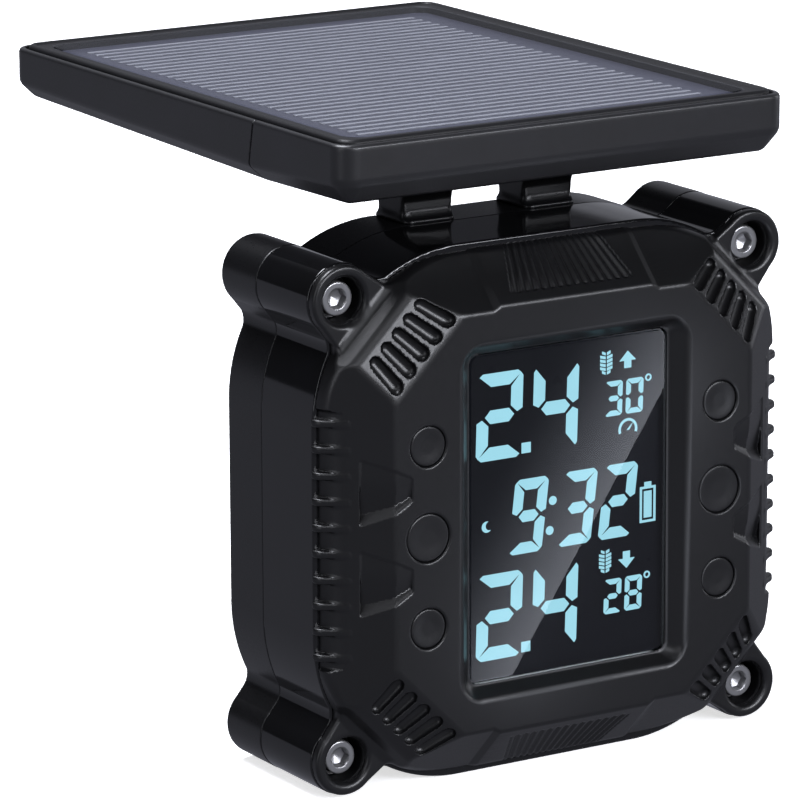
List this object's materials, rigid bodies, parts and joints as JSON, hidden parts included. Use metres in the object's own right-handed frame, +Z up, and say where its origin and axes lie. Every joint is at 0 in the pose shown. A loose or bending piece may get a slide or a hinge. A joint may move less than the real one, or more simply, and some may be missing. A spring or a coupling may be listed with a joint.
{
  "type": "tire pressure monitor",
  "caption": "Boxy handlebar tire pressure display: armour bezel, lit readout behind a flush window, round side keys, rear mounting inserts and a tilting solar tray on two short legs.",
  "frame": {"origin": "centre of the flat rear mounting face, in the middle of the four rear mounting inserts", "axes": "+Y points out of the rear mounting face (the display faces -Y); +Z is up, towards the solar tray; +X is to the right seen from the display side"},
  "size_m": [0.073, 0.0897, 0.0873],
  "materials": {
    "shell_black": "gloss black moulded ABS",
    "bezel_black": "satin black moulded plastic with a fine grain",
    "key_black": "satin black key caps",
    "tray_black": "fine-grained satin black",
    "leg_black": "fine-grained satin black",
    "seal_rubber": "soft black silicone",
    "window_clear": "smoked clear polished window",
    "lcd_dark": "dark polarised glass",
    "lcd_lit": "lit pale blue segments",
    "diffuser_white": "white light guide",
    "frame_white": "natural nylon",
    "zebra_rubber": "silicone strip",
    "board_green": "solder-masked glass-fibre board",
    "switch_black": "moulded black",
    "battery_foil": "foil pouch",
    "foam_white": "double-sided foam tape",
    "steel": "bright plated steel",
    "brass": "machined brass",
    "wire_red": "insulated wire",
    "panel_clear": "clear resin cover",
    "cell_grey": "blue-grey silicon cell",
    "finger_silver": "printed silver contact lines"
  },
  "bodies": {
    "case": {"rear_cover": "shell_black", "front_housing": "shell_black", "front_bezel": "bezel_black", "case_seal": "seal_rubber", "display_window": "window_clear", "window_gasket": "seal_rubber", "lcd_panel": "lcd_dark", "lcd_segments": "lcd_lit", "backlight": "diffuser_white", "lcd_holder": "frame_white", "lcd_connectors": "zebra_rubber", "main_board": "board_green", "key_switches": "switch_black", "battery": "battery_foil", "battery_tape": "foam_white", "battery_plug": "frame_white", "buzzer": "switch_black", "antenna_coil": "brass", "radio_shield": "steel", "usb_socket": "steel", "usb_hinge_pin": "steel", "case_screws": "steel", "corner_inserts": "brass", "mount_inserts": "brass", "board_screws": "steel", "hinge_legs": "leg_black", "leg_screws": "steel", "hinge_pins": "steel", "panel_lead": "wire_red"},
    "key_left_top": {"key_left_top": "key_black"},
    "key_left_middle": {"key_left_middle": "key_black"},
    "key_left_bottom": {"key_left_bottom": "key_black"},
    "key_right_top": {"key_right_top": "key_black"},
    "key_right_middle": {"key_right_middle": "key_black"},
    "key_right_bottom": {"key_right_bottom": "key_black"},
    "usb_flap": {"usb_cover": "seal_rubber"},
    "solar_tray": {"panel_tray": "tray_black", "panel_frame": "tray_black", "panel_glass": "panel_clear", "solar_cell": "cell_grey", "cell_fingers": "finger_silver", "tray_lead": "wire_red"}
  },
  "joints": [
    {"name": "tray_tilt", "type": "hinge", "parent": "case", "child": "solar_tray", "pos_m": [0, -0.00445, 0.0399], "axis": [1, 0, 0], "range_deg": [-45, 20], "stiffness_Nm_per_rad": 0.3},
    {"name": "key_left_top_press", "type": "slide", "parent": "case", "child": "key_left_top", "axis": [0, 1, 0], "range_m": [0, 0.0005], "stiffness_N_per_m": 400},
    {"name": "key_left_middle_press", "type": "slide", "parent": "case", "child": "key_left_middle", "axis": [0, 1, 0], "range_m": [0, 0.0005], "stiffness_N_per_m": 400},
    {"name": "key_left_bottom_press", "type": "slide", "parent": "case", "child": "key_left_bottom", "axis": [0, 1, 0], "range_m": [0, 0.0005], "stiffness_N_per_m": 400},
    {"name": "key_right_top_press", "type": "slide", "parent": "case", "child": "key_right_top", "axis": [0, 1, 0], "range_m": [0, 0.0005], "stiffness_N_per_m": 400},
    {"name": "key_right_middle_press", "type": "slide", "parent": "case", "child": "key_right_middle", "axis": [0, 1, 0], "range_m": [0, 0.0005], "stiffness_N_per_m": 400},
    {"name": "key_right_bottom_press", "type": "slide", "parent": "case", "child": "key_right_bottom", "axis": [0, 1, 0], "range_m": [0, 0.0005], "stiffness_N_per_m": 400},
    {"name": "usb_cover_open", "type": "hinge", "parent": "case", "child": "usb_flap", "pos_m": [0.0072, -0.01525, -0.0349], "axis": [0, -1, 0], "range_deg": [0, 110]}
  ]
}
